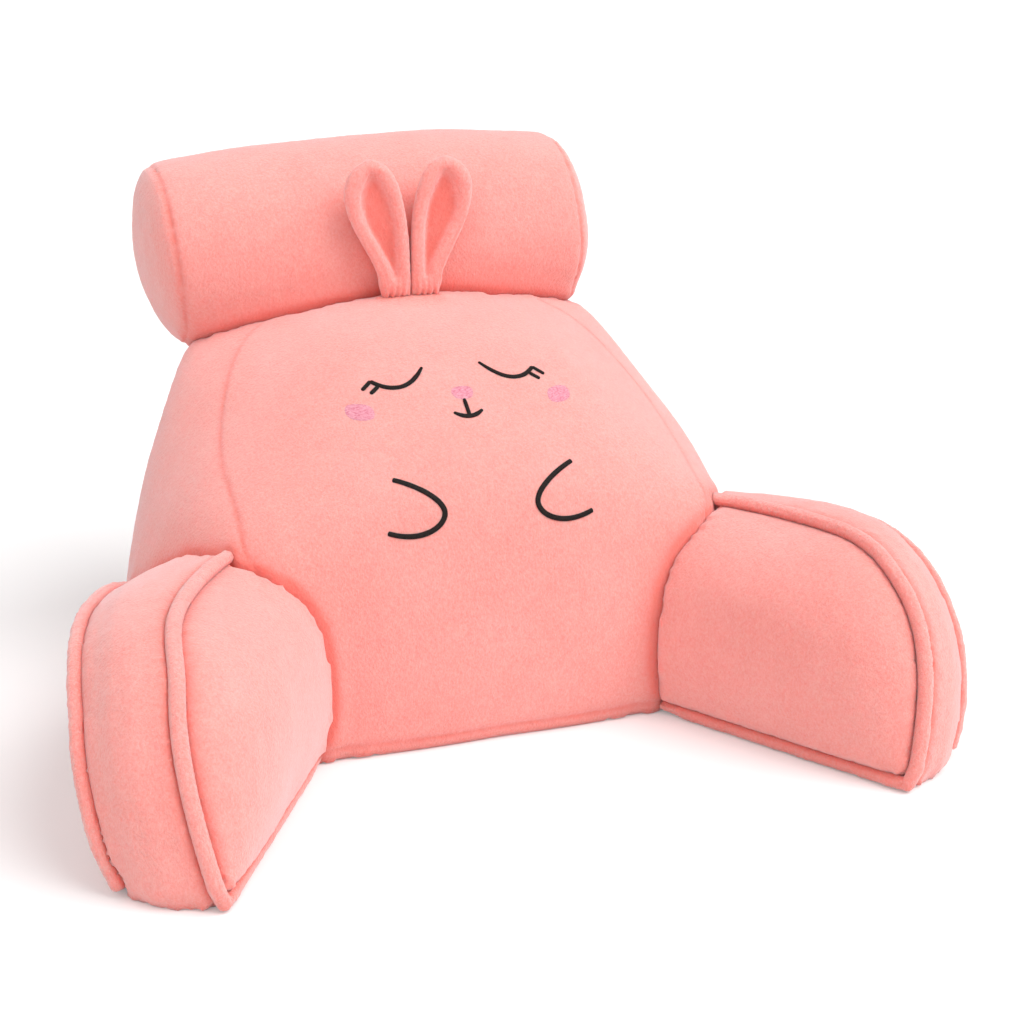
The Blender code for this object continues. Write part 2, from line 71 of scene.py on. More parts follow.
LIP_SHARPER = math.radians(38.0)  # an edge is a join's lip if its faces turn by more than this ...
LIP_REACH = 0.0015        # ... and a neighbour is this near
LIP_FLOOR = 0.0005        # ... or the edge lies this low
LIP_SPACING = 0.0004      # distance between two places on a lip
LIP_WINDOW = 0.007        # each place moves to the middle of those this near ...
LIP_SHIFT = 0.0008        # ... if that isn't further than this
LIP_LEAN = 0.35           # share of the gap to the neighbour that a lip crosses

Colour = tuple[float, float, float, float]
Triple = tuple[float, float, float]
Pair = tuple[float, float]


class Side(Enum):
    """The two hands of the pillow, seen from its front."""

    LEFT = -1.0
    RIGHT = 1.0

    @property
    def word(self) -> str:
        """The hand as it stands in a node's name."""
        return self.name.lower()


class Slot(Enum):
    """Material slots of the record."""

    PLUSH = "plush"
    PIPING = "plush_piping"
    EAR = "plush_ear"


# ---- mesh handling
def applied(piece: Object) -> None:
    """Bake an object's modifiers into its mesh.

    Args:
        piece: The object; it is left with no modifier.
    """
    depsgraph = bpy.context.evaluated_depsgraph_get()
    mesh = bpy.data.meshes.new_from_object(piece.evaluated_get(depsgraph))
    old = piece.data
    piece.modifiers.clear()
    piece.data = mesh
    bpy.data.meshes.remove(old)
    mesh.name = piece.name


def linked(name: str, form: BMesh) -> Object:
    """Make an object from a bmesh, which is freed.

    Args:
        name: The piece's name.
        form: Its shape in the row frame.

    Returns:
        The new, smooth shaded object.
    """
    mesh = bpy.data.meshes.new(name)
    form.to_mesh(mesh)
    form.free()
    mesh.shade_smooth()
    piece = bpy.data.objects.new(name, mesh)
    bpy.context.scene.collection.objects.link(piece)
    return piece


def welded(node: str) -> BMesh:
    """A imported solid's skin with its corners merged."""
    form = bmesh.new()
    form.from_mesh(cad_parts[node].data)
    bmesh.ops.remove_doubles(form, verts=form.verts, dist=WELD)
    return form


@contextmanager
def reshaped(piece: Object) -> Iterator[BMesh]:
    """Open an object's mesh for bmesh operators, and put the result back."""
    form = bmesh.new()
    form.from_mesh(piece.data)
    yield form
    form.to_mesh(piece.data)
    form.free()


def smooth_corners(form: BMesh, corners: Sequence[BMVert], passes: int) -> None:
    """Even out some corners of a shape.

    Args:
        form: The shape.
        corners: Those of its corners that may move.
        passes: How often each goes halfway to the middle of its neighbours.
    """
    for _ in range(passes):
        bmesh.ops.smooth_vert(
            form, verts=corners, factor=0.5, use_axis_x=True, use_axis_y=True, use_axis_z=True)


def cover_skin(piece: Object) -> BVHTree:
    """A search tree over a finished cover."""
    form = bmesh.new()
    form.from_mesh(piece.data)
    tree = BVHTree.FromBMesh(form)
    form.free()
    return tree


def rows_of(values: Sequence, key: str) -> np.ndarray:
    """One value of each vertex as rows of x, y, z."""
    flat = np.empty(len(values) * 3, np.float32)
    values.foreach_get(key, flat)
    return flat.reshape(-1, 3).astype(float)


def points_of(mesh: Mesh) -> np.ndarray:
    """Vertex places of a mesh."""
    return rows_of(mesh.vertices, "co")


def normals_of(mesh: Mesh) -> np.ndarray:
    """Vertex normals of a mesh."""
    return rows_of(mesh.vertex_normals, "vector")


def put_points(mesh: Mesh, points: np.ndarray) -> None:
    """Move a mesh's vertices to new places."""
    mesh.vertices.foreach_set("co", points.astype(np.float32).ravel())
    mesh.update()


def put_on_floor(mesh: Mesh, points: np.ndarray) -> None:
    """Move a mesh's vertices to new places, but none into the floor."""
    points[:, 2] = np.maximum(points[:, 2], FLOOR_CLEAR)
    put_points(mesh, points)


def rise(value: np.ndarray, start: float, length: float) -> np.ndarray:
    """An even rise from 0 to 1 over a length of value."""
    bound = np.clip((value - start) / length, 0.0, 1.0)
    return bound * bound * (3.0 - 2.0 * bound)


def store(mesh: Mesh, name: str, values: np.ndarray) -> None:
    """Write one number from 0 to 1 for each vertex as an attribute."""
    attribute = mesh.attributes.new(name, "FLOAT", "POINT")
    attribute.data.foreach_set("value", np.clip(values, 0.0, 1.0).astype(np.float32))


def lumps(points: np.ndarray, size: float, seed: float) -> np.ndarray:
    """Smooth noise from -1 to 1 at each point.

    Args:
        points: Rows of x, y, z.
        size: Length of one lump, in metres.
        seed: Shifts the pattern.
    """
    shift = Vector((seed, 1.7 * seed, -0.6 * seed))
    return np.array([noise.noise(Vector(p) / size + shift) for p in points])


def skin_of(nodes: Iterable[str]) -> BVHTree:
    """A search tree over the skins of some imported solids."""
    corners: list[Vector] = []
    faces: list[tuple[int, ...]] = []
    for node in nodes:
        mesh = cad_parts[node].data
        start = len(corners)
        corners += [vertex.co.copy() for vertex in mesh.vertices]
        faces += [tuple(start + i for i in face.vertices) for face in mesh.polygons]
    return BVHTree.FromPolygons(corners, faces)


def distances(points: np.ndarray, skin: BVHTree) -> np.ndarray:
    """How far each point is from a skin."""
    return np.array([skin.find_nearest(Vector(p))[3] for p in points])


def lips_of(node: str, near: BVHTree) -> list[Vector]:
    """Places along a solid's sharp edges that lie beside its neighbours or on the floor.

    Args:
        node: The solid's node.
        near: The neighbours' skins.

    Returns:
        The places, evened out along their edges and moved a little towards the neighbour.
    """
    form = welded(node)
    found: list[Vector] = []
    for edge in form.edges:
        if len(edge.link_faces) != 2 or edge.calc_face_angle(0.0) < LIP_SHARPER:
            continue
        start, stop = (vertex.co for vertex in edge.verts)
        steps = max(1, round((stop - start).length / LIP_SPACING))
        places = [start.lerp(stop, i / steps) for i in range(steps + 1)]
        on_floor = max(start.z, stop.z) < LIP_FLOOR
        found += [p for p in places if on_floor or near.find_nearest(p, LIP_REACH)[3] is not None]
    form.free()
    tree = search_tree(found)
    lips = []
    for place in found:
        close = [other for other, _, _ in tree.find_range(place, LIP_WINDOW)]
        evened = sum(close, Vector()) / len(close)
        lip = evened if (evened - place).length < LIP_SHIFT else place
        beside = near.find_nearest(lip, LIP_REACH)[0]
        lips.append(lip if beside is None else lip.lerp(beside, LIP_LEAN))
    return lips


def compass(count: int) -> Iterator[Pair]:
    """Cosine and sine of evenly spaced directions, once round."""
    for i in range(count):
        angle = 2.0 * math.pi * i / count
        yield math.cos(angle), math.sin(angle)


def search_tree(places: Sequence[Vector]) -> KDTree:
    """A search tree over some places."""
    tree = KDTree(len(places))
    for i, place in enumerate(places):
        tree.insert(place, i)
    tree.balance()
    return tree


def spread_evenly(knots: Sequence[Vector], spacing: float) -> list[Vector]:
    """Points at even distances on a smooth curve through some knots.

    Args:
        knots: Places that the curve passes.
        spacing: Distance between two points, in metres.
    """
    fine: list[Vector] = []
    last = len(knots) - 1
    parts = 12
    for i in range(last):
        before, after = knots[max(i - 1, 0)], knots[min(i + 2, last)]
        a, b = knots[i], knots[i + 1]
        for k in range(parts):
            t = k / parts
            fine.append(0.5 * (2 * a + (b - before) * t + (2 * before - 5 * a + 4 * b - after) * t * t
                               + (3 * a - before - 3 * b + after) * t ** 3))
    fine.append(knots[last])
    return even(fine, spacing)


def even(line: Sequence[Vector], spacing: float) -> list[Vector]:
    """Resample a line at even distances."""
    lengths = np.concatenate([[0.0], np.cumsum([(b - a).length for a, b in zip(line, line[1:])])])
    count = max(2, round(lengths[-1] / spacing))
    at = np.linspace(0.0, lengths[-1], count + 1)
    places = np.array([tuple(p) for p in line])
    return [Vector(row) for row in np.stack([np.interp(at, lengths, column) for column in places.T], 1)]


@dataclass
class SeamLine:
    """A sewn seam on a piece: a line, and how it draws the cloth in."""

    line: list[Vector]
    depth: float         # how deep the cloth dips at the line
    half_width: float    # how far the dip reaches
    pucker: float = 0.35  # how uneven the depth is along the seam
    pucker_length: float = 0.011
    shoulder: float = 0.35  # share of the depth of a second, wider dip ...
    shoulder_width: float = 1.8  # ... and how much wider it is
    reach: float = 3.0   # nothing sinks beyond this many half widths

    def __post_init__(self) -> None:
        """Build the search tree over the line's points."""
        self.tree = search_tree(self.line)

    def lay_on(self, skin: BVHTree) -> None:
        """Move the line onto a finished cover."""
        self.line = [skin.find_nearest(point)[0] for point in self.line]
        self.tree = search_tree(self.line)

    def dip(self, points: np.ndarray) -> np.ndarray:
        """How far each point sinks because of the seam."""
        sink = np.zeros(len(points))
        for i, place in enumerate(points):
            near, _, distance = self.tree.find(place)
            away = distance / self.half_width
            if away > self.reach:
                continue
            uneven = 1.0 + self.pucker * noise.noise(near / self.pucker_length)
            core = math.exp(-away ** 2)
            shoulder = self.shoulder * math.exp(-(away / self.shoulder_width) ** 2)
            sink[i] = self.depth * uneven * (core + shoulder)
        return sink


def refine_where(piece: Object, wanted: Callable[[BMVert], bool]) -> None:
    """Split the mesh's edges that have both ends in some region.

    Args:
        piece: The object whose mesh gets finer there.
        wanted: Says whether a corner of the mesh belongs to the region.
    """
    with reshaped(piece) as form:
        near = {vertex for vertex in form.verts if wanted(vertex)}
        edges = [edge for edge in form.edges if edge.verts[0] in near and edge.verts[1] in near]
        bmesh.ops.subdivide_edges(form, edges=edges, cuts=1, use_grid_fill=True)


# ---- finishes
class NodeSheet:
    """Adds nodes to one node tree and joins them."""

    def __init__(self, tree: NodeTree) -> None:
        """Keep the tree and place nodes from left to right."""
        self.tree = tree
        self.column = 0

    def add(self, kind: str, **settings: object) -> Node:
        """Add a node and set its properties."""
        node = self.tree.nodes.new(kind)
        node.location = (self.column * 190, 0)
        self.column += 1
        for key, value in settings.items():
            setattr(node, key, value)
        return node

    def join(self, source: object, target: NodeSocket) -> None:
        """Join an output to an input, or set the input to a plain value."""
        if isinstance(source, NodeSocket):
            self.tree.links.new(source, target)
        else:
            target.default_value = source

    def fill(self, node: Node, **values: object) -> None:
        """Join or set a node's inputs, named with _ for each blank."""
        for name, value in values.items():
            self.join(value, node.inputs[name.replace("_", " ")])

    def noise(self, vector: NodeSocket, scale: float, detail: float, rough: float) -> NodeSocket:
        """A noise texture's value on a vector."""
        texture = self.add("ShaderNodeTexNoise")
        self.fill(texture, Vector=vector, Scale=scale, Detail=detail, Roughness=rough)
        return texture.outputs["Fac"]

    def maths(self, operation: str, *values: object) -> NodeSocket:
        """A maths node on sockets or plain numbers."""
        node = self.add("ShaderNodeMath", operation=operation)
        for socket, value in zip(node.inputs, values):
            self.join(value, socket)
        return node.outputs[0]

    def stretched(self, vector: NodeSocket, scale: Triple) -> NodeSocket:
        """A vector scaled by three numbers."""
        mapping = self.add("ShaderNodeMapping")
        self.fill(mapping, Vector=vector, Scale=scale)
        return mapping.outputs["Vector"]

    def blended(self, factor: NodeSocket, low: object, high: object) -> NodeSocket:
        """Mix two colours, each a socket or four numbers."""
        mix = self.add("ShaderNodeMix", data_type="RGBA")
        self.fill(mix, Factor=factor, A=low, B=high)
        return mix.outputs["Result"]


PILE_INPUTS = {"Vector": "Vector", "Light": "Color", "Deep": "Color",
               "Crease": "Float", "Contrast": "Float", "Relief": "Float"}
PILE_OUTPUTS = {"Colour": "Color", "Normal": "Vector"}


def pile_group(level: float = 0.62) -> NodeTree:
    """The short pile: soft grain, tufts and nap clouds, with painted shade where the crease shade input
    is high.

    Args:
        level: How light the pile is between its deep and its light colour.

    Returns:
        A shader group with the sockets of PILE_INPUTS and PILE_OUTPUTS.
    """
    group = bpy.data.node_groups.new("short_pile", "ShaderNodeTree")
    for way, sockets in (("INPUT", PILE_INPUTS), ("OUTPUT", PILE_OUTPUTS)):
        for name, kind in sockets.items():
            group.interface.new_socket(name, in_out=way, socket_type="NodeSocket" + kind)
    sheet = NodeSheet(group)
    given = sheet.add("NodeGroupInput").outputs
    result = sheet.add("NodeGroupOutput")
    place = given["Vector"]
    grain = sheet.noise(sheet.stretched(place, (1.0, 1.0, 0.62)), 980.0, 2.0, 0.55)
    tufts = sheet.noise(sheet.stretched(place, (1.0, 1.0, 0.75)), 460.0, 2.0, 0.6)
    clouds = sheet.noise(place, 17.0, 3.0, 0.5)
    patches = sheet.noise(place, 75.0, 2.0, 0.5)
    tone: object = 0.0
    for texture, weight in ((tufts, 0.90), (grain, 0.80), (patches, 0.22), (clouds, 0.35)):
        tone = sheet.maths("ADD", tone, sheet.maths("MULTIPLY_ADD", texture, weight, -0.5 * weight))
    tone = sheet.maths("MULTIPLY_ADD", tone, given["Contrast"], level)
    # painted shade: the tone goes towards the deep colour where the crease shade input is high
    tone = sheet.maths("MULTIPLY", tone, sheet.maths("SUBTRACT", 1.0, given["Crease"]))
    bound = sheet.add("ShaderNodeClamp")
    sheet.fill(bound, Value=tone)
    height = sheet.maths("MULTIPLY_ADD", tufts, 1.6, grain)
    height = sheet.maths("MULTIPLY_ADD", patches, 0.6, height)
    bump = sheet.add("ShaderNodeBump")
    sheet.fill(bump, Distance=0.001, Strength=given["Relief"], Height=height)
    colour = sheet.blended(bound.outputs["Result"], given["Deep"], given["Light"])
    sheet.fill(result, Colour=colour, Normal=bump.outputs["Normal"])
    return group


@dataclass(frozen=True)
class PlushFinish:
    """Coral pink short-pile plush."""

    name: str
    light: Colour = (0.93, 0.485, 0.455, 1.0)
    deep: Colour = (0.83, 0.175, 0.135, 1.0)
    contrast: float = 0.62
    relief: float = 0.55
    roughness: float = 0.95
    gloss: float = 0.12
    sheen: float = 0.6
    sheen_tint: Colour = (1.0, 0.82, 0.86, 1.0)
    sheen_roughness: float = 0.45
    glow: float = 0.85         # share of the light that wanders through the pile ...
    glow_reach: Triple = (1.0, 0.28, 0.24)
    glow_depth: float = 0.007  # ... this far

    def material(self, group: NodeTree) -> Material:
        """Make the material.

        Args:
            group: The short pile's node group.
        """
        finish = bpy.data.materials.new(self.name)
        finish.use_nodes = True
        sheet = NodeSheet(finish.node_tree)
        place = sheet.add("ShaderNodeTexCoord").outputs["Object"]
        # painted shade: the stored crease shade pulls the pile towards its deep colour
        crease = sheet.add("ShaderNodeAttribute", attribute_name="crease").outputs["Fac"]
        pile = sheet.add("ShaderNodeGroup", node_tree=group)
        sheet.fill(pile, Vector=place, Crease=crease, Light=self.light, Deep=self.deep,
                   Contrast=self.contrast, Relief=self.relief)
        sheet.fill(
            finish.node_tree.nodes["Principled BSDF"],
            Base_Color=pile.outputs["Colour"], Normal=pile.outputs["Normal"],
            Roughness=self.roughness, Specular_IOR_Level=self.gloss,
            Subsurface_Weight=self.glow, Subsurface_Radius=self.glow_reach,
            Subsurface_Scale=self.glow_depth,
            Sheen_Weight=self.sheen, Sheen_Roughness=self.sheen_roughness, Sheen_Tint=self.sheen_tint)
        return finish


@dataclass(frozen=True)
class ThreadFinish:
    """Embroidery thread, with the sheen of polyester."""

    name: str
    light: Colour
    dark: Colour
    streak: Triple = (900.0, 900.0, 900.0)
    roughness: float = 0.5
    gloss: float = 0.2

    def material(self) -> Material:
        """Make the material."""
        finish = bpy.data.materials.new(self.name)
        finish.use_nodes = True
        sheet = NodeSheet(finish.node_tree)
        place = sheet.add("ShaderNodeTexCoord").outputs["Object"]
        strands = sheet.noise(sheet.stretched(place, self.streak), 1.0, 2.0, 0.6)
        level = sheet.add("ShaderNodeMapRange")
        sheet.fill(level, Value=strands, From_Min=0.38, From_Max=0.62)
        bump = sheet.add("ShaderNodeBump")
        sheet.fill(bump, Distance=0.0004, Strength=0.5, Height=strands)
        sheet.fill(
            finish.node_tree.nodes["Principled BSDF"],
            Base_Color=sheet.blended(level.outputs["Result"], self.dark, self.light),
            Normal=bump.outputs["Normal"], Roughness=self.roughness, Specular_IOR_Level=self.gloss)
        return finish


# ---- filled pieces
@dataclass
class FilledPiece:
    """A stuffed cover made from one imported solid."""

    node: str
    name: str
    slot: Slot
    neighbours: tuple[str, ...]
    fill: float = 0.8
    seams: list[SeamLine] = field(default_factory=list)

    voxel: float = 0.005       # mesh size before the last subdivision
    start_in: float = 0.003    # the cover starts this far inside its solid
    remesh_evening: int = 3
    refine_joins: tuple[float, ...] = (0.008,)  # the mesh is split this near to a neighbour ...
    join_inside: float = 0.0026  # ... but not deep inside a join, where both covers are this near ...
    join_share: float = 0.6    # ... or this share of the first distance
    refine_seams: float = 2.5  # and within this many half widths of a seam

    pressure: float = 4.0
    frames: int = 20
    cloth_quality: int = 5
    pinned_foot: float = 0.004  # filling moves nothing that lies lower than this ...
    pinned_band: Pair = (0.004, 0.008)  # ... or this near a neighbour, and less over this length
    most_swell: float = 0.008  # how far a point may move while it fills

    proud: float = 0.0020      # how far the cover may stand out of its solid ...
    sunk: float = 0.0030       # ... or lie inside it
    sewn_band: Pair = (0.003, 0.011)  # it lies on its solid this near a neighbour, then comes loose
    snug: float = 0.0001       # how far a join stands out of the solid, towards its neighbour
    foot_reach: float = 0.009  # the cover comes down onto the floor over this height
    lip_catch: float = 0.0022  # the mesh's corners come to a join's sharp edge from this far
    evening: int = 12          # passes that even out the panels between the joins ...
    evening_clear: float = 0.0014  # ... but not this near to a neighbour ...
    evening_floor: float = 0.002   # ... or to the floor

    unevenness: float = 0.0012
    uneven_size: float = 0.07
    pimples: float = 0.0003    # small lumps of the pile
    pimple_size: float = 0.006
    even_band: Pair = (0.002, 0.012)  # no unevenness this near a neighbour, and all beyond this length
    # painted shade: the pile's colour goes towards its deep colour beside joins, beside seams and near
    # the floor
    crease_shade_reach: float = 0.016
    crease_shade_fall: float = 2.2   # the painted shade beside a join is e times weaker at reach / fall
    join_shade: float = 0.70
    seam_shade: float = 0.45
    floor_shade: float = 0.95
    floor_shade_height: float = 0.006         # how high the painted shade beside the floor reaches

    def build(self, finish: Material) -> Object:
        """Make the piece.

        Args:
            finish: Its material.

        Returns:
            The finished object, riding on the pillow's body.
        """
        self.solid = skin_of([self.node])
        self.others = skin_of(self.neighbours)
        piece = linked(self.name, welded(self.node))
        self.draw_in(piece)
        if self.frames:
            self.blow_up(piece)
        self.subdivide(piece)
        for reach in self.refine_joins:
            refine_where(piece, lambda vertex: self.beside_join(vertex, reach))
        self.settle(piece)
        if self.seams:
            cover = cover_skin(piece)
            for seam in self.seams:
                seam.lay_on(cover)
            refine_where(piece, self.beside_seam)
        self.relief(piece)
        self.paint_crease_shade(piece.data)
        piece.data.materials.clear()
        piece.data.materials.append(finish)
        piece.data.shade_smooth()
        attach(piece, BODY)
        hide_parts(self.node)
        triangles = sum(len(face.vertices) - 2 for face in piece.data.polygons)
        LOG.info("%s: %d triangles", self.name, triangles)
        return piece

    def beside_join(self, vertex: BMVert, reach: float) -> bool:
        """Whether a corner lies by the edge of a join with a neighbour, but not inside it."""
        distance = self.others.find_nearest(vertex.co, reach)[3]
        if distance is None:
            return False
        inside = max(self.join_inside, self.join_share * reach)
        rim = (edge.other_vert(vertex).co for edge in vertex.link_edges)
        return distance > self.join_inside or any(
            self.others.find_nearest(place, inside)[3] is None for place in rim)

    def beside_seam(self, vertex: BMVert) -> bool:
        """Whether a corner lies close to one of the seams."""
        return any(
            seam.tree.find(vertex.co)[2] < self.refine_seams * seam.half_width for seam in self.seams)

    def draw_in(self, piece: Object) -> None:
        """Shrink the skin, so that it can swell, and give it an even mesh of small squares."""
        shift = piece.modifiers.new("draw in", "DISPLACE")
        shift.strength = -self.start_in
        shift.mid_level = 0.0
        remesh = piece.modifiers.new("even mesh", "REMESH")
        remesh.mode = "VOXEL"
        remesh.voxel_size = self.voxel
        applied(piece)
        with reshaped(piece) as form:
            smooth_corners(form, form.verts, self.remesh_evening)

    def blow_up(self, piece: Object) -> None:
        """Fill the cover: a cloth simulation with inner pressure and no weight."""
        rest = points_of(piece.data)
        held = piece.vertex_groups.new(name="sewn")
        pinned = 1.0 - rise(distances(rest, self.others), *self.pinned_band)
        pinned[rest[:, 2] < self.pinned_foot] = 1.0
        for i in np.flatnonzero(pinned):
            held.add([int(i)], float(pinned[i]), "REPLACE")
        cloth = piece.modifiers.new("filling", "CLOTH")
        settings = cloth.settings
        settings.quality = self.cloth_quality
        settings.use_pressure = True
        settings.uniform_pressure_force = self.pressure
        settings.vertex_group_mass = "sewn"
        settings.effector_weights.gravity = 0.0
        cloth.collision_settings.use_collision = False
        cloth.point_cache.frame_start = 1
        cloth.point_cache.frame_end = self.frames
        for step in range(1, self.frames + 1):
            bpy.context.scene.frame_set(step)
        applied(piece)
        bpy.context.scene.frame_set(1)
        piece.vertex_groups.clear()
        moved = points_of(piece.data) - rest
        length = np.linalg.norm(moved, axis=1)
        share = np.minimum(1.0, self.most_swell / np.maximum(length, 1e-9))
        put_points(piece.data, rest + moved * share[:, None])

    def subdivide(self, piece: Object) -> None:
        """Smooth the mesh once."""
        smooth = piece.modifiers.new("smooth", "SUBSURF")
        smooth.levels = 1
        smooth.render_levels = 1
        applied(piece)

    def settle(self, piece: Object) -> None:
        """Bring the cover to its solid: exactly where it is sewn, loosely elsewhere."""
        points = points_of(piece.data)
        sewn = 1.0 - rise(distances(points, self.others), *self.sewn_band)
        for i, place in enumerate(points):
            here = Vector(place)
            on_skin, outward, _, _ = self.solid.find_nearest(here)
            height = (here - on_skin).dot(outward)
            loose = min(max(height, -self.sunk), self.proud)
            wanted = (1.0 - sewn[i]) * loose + sewn[i] * self.snug
            points[i] = here + outward * (wanted - height)
        points[:, 2] -= self.start_in * (1.0 - rise(points[:, 2], self.start_in, self.foot_reach))
        held = self.meet_lips(points)
        put_on_floor(piece.data, points)
        with reshaped(piece) as form:
            free = [vertex for vertex in form.verts if self.may_even(vertex, held)]
            smooth_corners(form, free, self.evening)

    def meet_lips(self, points: np.ndarray) -> set[int]:
        """Bring the nearest corners of the mesh onto the sharp edges of its joins.

        Args:
            points: The corners' places, which change.

        Returns:
            Numbers of the corners that now lie on an edge.
        """
        corners = search_tree([Vector(place) for place in points])
        caught: dict[int, tuple[float, Vector]] = {}
        for lip in lips_of(self.node, self.others):
            _, i, distance = corners.find(lip)
            if distance < caught.get(i, (self.lip_catch, lip))[0]:
                caught[i] = (distance, lip)
        for i, (_, lip) in caught.items():
            points[i] = lip
        return set(caught)

    def may_even(self, vertex: BMVert, held: set[int]) -> bool:
        """Whether a corner lies on a panel, and neither in a join nor on the base."""
        return (vertex.index not in held and vertex.co.z > self.evening_floor
                and self.others.find_nearest(vertex.co, self.evening_clear)[3] is None)

    def relief(self, piece: Object) -> None:
        """Add soft unevenness, the pile's small lumps and the seams."""
        points = points_of(piece.data)
        outward = normals_of(piece.data)
        height = self.unevenness * lumps(points, self.uneven_size, 3.1)
        height += self.pimples * lumps(points, self.pimple_size, 7.7)
        height *= rise(distances(points, self.others), *self.even_band)
        for seam in self.seams:
            height -= seam.dip(points)
        height += self.extra_relief(points, outward)
        put_on_floor(piece.data, points + outward * height[:, None])

    def extra_relief(self, points: np.ndarray, outward: np.ndarray) -> np.ndarray:
        """Further heights that one kind of piece needs; none here."""
        return np.zeros(len(points))

    def paint_crease_shade(self, mesh: Mesh) -> None:
        """Store how much painted shade each point gets beside a join, beside a seam and near the floor.
        """
        points = points_of(mesh)
        away = distances(points, self.others) / self.crease_shade_reach
        depth = self.join_shade * np.exp(-self.crease_shade_fall * away)
        for seam in self.seams:
            depth = np.maximum(depth, self.seam_shade * seam.dip(points) / seam.depth)
        store(mesh, "crease", np.maximum(depth, self.floor_shade * np.exp(-points[:, 2] / self.floor_shade_height)))


def in_row_frame(x: float, y: float, z: float) -> Vector:
    """From lengths behind the line where front and floor meet to the row frame."""
    return Vector((x, y - FRONT_TO_MIDDLE, z))


ARMS = tuple("arm_" + side.word for side in Side)
WELTS = tuple("piping_" + place + "_" + side.word for place in ("inner", "outer") for side in Side)
EARS = tuple("ear_" + side.word for side in Side)


@dataclass
class Backrest(FilledPiece):
    """The filled backrest with its front, side and back panels."""

    node: str = "backrest"
    name: str = "backrest_cushion"
    slot: Slot = Slot.PLUSH
    neighbours: tuple[str, ...] = ARMS + WELTS + EARS + ("neck_roll",)
    voxel: float = 0.0088
    refine_joins: tuple[float, ...] = (0.007, 0.003)
    crease_shade_reach: float = 0.011
    unevenness: float = 0.0018
    uneven_size: float = 0.085
    front_seam: tuple[Triple, ...] = (
        (0.190, 0.006, 0.150), (0.202, 0.020, 0.185), (0.197, 0.070, 0.210), (0.195, 0.115, 0.228),
        (0.187, 0.155, 0.252), (0.168, 0.198, 0.281), (0.148, 0.228, 0.300), (0.128, 0.245, 0.312))
    back_seam: tuple[Triple, ...] = (
        (0.210, 0.311, 0.012), (0.216, 0.318, 0.060), (0.211, 0.322, 0.123), (0.195, 0.321, 0.185),
        (0.171, 0.316, 0.243), (0.159, 0.312, 0.270))
    front_depth: float = 0.0005
    back_depth: float = 0.0009
    panel_half_width: float = 0.0020
    base_height: float = 0.011
    base_depth: float = 0.0010
    base_half_width: float = 0.0028
    spacing: float = 0.001     # distance between two points of a seam
    directions: int = 1600     # points of the base seam

    def __post_init__(self) -> None:
        """Lay the seams on the solid."""
        solid = skin_of([self.node])
        for side in Side:
            for knots, depth in ((self.front_seam, self.front_depth), (self.back_seam, self.back_depth)):
                placed = [in_row_frame(side.value * x, y, z) for x, y, z in knots]
                line = [solid.find_nearest(p)[0] for p in spread_evenly(placed, self.spacing)]
                self.seams.append(SeamLine(line, depth, self.panel_half_width))
        self.seams.append(SeamLine(self.base_line(solid), self.base_depth, self.base_half_width))

    def base_line(self, solid: BVHTree) -> list[Vector]:
        """The seam between the base and the upright panels, all the way round."""
        low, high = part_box(self.node)
        middle = Vector((0.0, 0.5 * (low.y + high.y), self.base_height))
        outward = [Vector((x, y, 0.0)) for x, y in compass(self.directions)]
        hits = [solid.ray_cast(middle + direction, -direction)[0] for direction in outward]
        return [hit for hit in hits if hit]


@dataclass
class NeckRoll(FilledPiece):
    """The neck roll: a tube with a sewn disc at each end."""

    node: str = "neck_roll"
    name: str = "neck_roll_cushion"
    slot: Slot = Slot.PLUSH
    neighbours: tuple[str, ...] = ("backrest",) + EARS
    voxel: float = 0.0058
    unevenness: float = 0.0016
    uneven_size: float = 0.06
    half: float = 0.183        # from the roll's middle to an end seam
    end_radius: float = 0.0805
    radius: float = 0.0925
    middle: Triple = (-0.0125, 0.325, 0.358)
    skew: float = 0.065        # how far the end discs lean ...
    tilt: float = 0.024        # ... and the whole roll
    tuck: float = 0.045        # share by which the underside is shorter
    seam_depth: float = 0.0010
    seam_half_width: float = 0.0020
    seam_pucker: float = 0.7
    seam_pucker_length: float = 0.007
    directions: int = 900      # points of an end seam

    def __post_init__(self) -> None:
        """Lay the two end seams."""
        for side in Side:
            line = []
            for cos, sin in compass(self.directions):
                y, z = self.end_radius * cos, self.end_radius * sin
                along = side.value * self.half
                tucked = along * (1.0 - self.tuck * max(0.0, -z / self.radius) ** 1.5)
                slid = Vector((tucked - self.skew * z, y, z + self.tilt * along))
                line.append(in_row_frame(*self.middle) + slid)
            self.seams.append(SeamLine(
                line, self.seam_depth, self.seam_half_width, self.seam_pucker, self.seam_pucker_length))


@dataclass
class Arm(FilledPiece):
    """One filled arm."""

    side: Side = Side.LEFT
    voxel: float = 0.0054
    unevenness: float = 0.0010
    uneven_size: float = 0.05
    refine_joins: tuple[float, ...] = (0.006, 0.0022)
    lip_catch: float = 0.0016
    crease_shade_reach: float = 0.011
    pucker: float = 0.0007     # small folds where the panels are gathered to the piping
    pucker_size: float = 0.013
    pucker_reach: float = 0.022
    pucker_band: Pair = (0.001, 0.006)  # none this near the piping, and all beyond this length

    @classmethod
    def on(cls, side: Side) -> "Arm":
        """The arm of one hand."""
        welts = tuple(welt for welt in WELTS if welt.endswith(side.word))
        node = "arm_" + side.word
        return cls(node, node + "_cushion", Slot.PLUSH, ("backrest",) + welts, side=side)

    def extra_relief(self, points: np.ndarray, outward: np.ndarray) -> np.ndarray:
        """Puckers along the piping."""
        away = distances(points, skin_of([node for node in self.neighbours if node != "backrest"]))
        share = np.exp(-away / self.pucker_reach) * rise(away, *self.pucker_band)
        return self.pucker * share * lumps(points, self.pucker_size, 11.3)


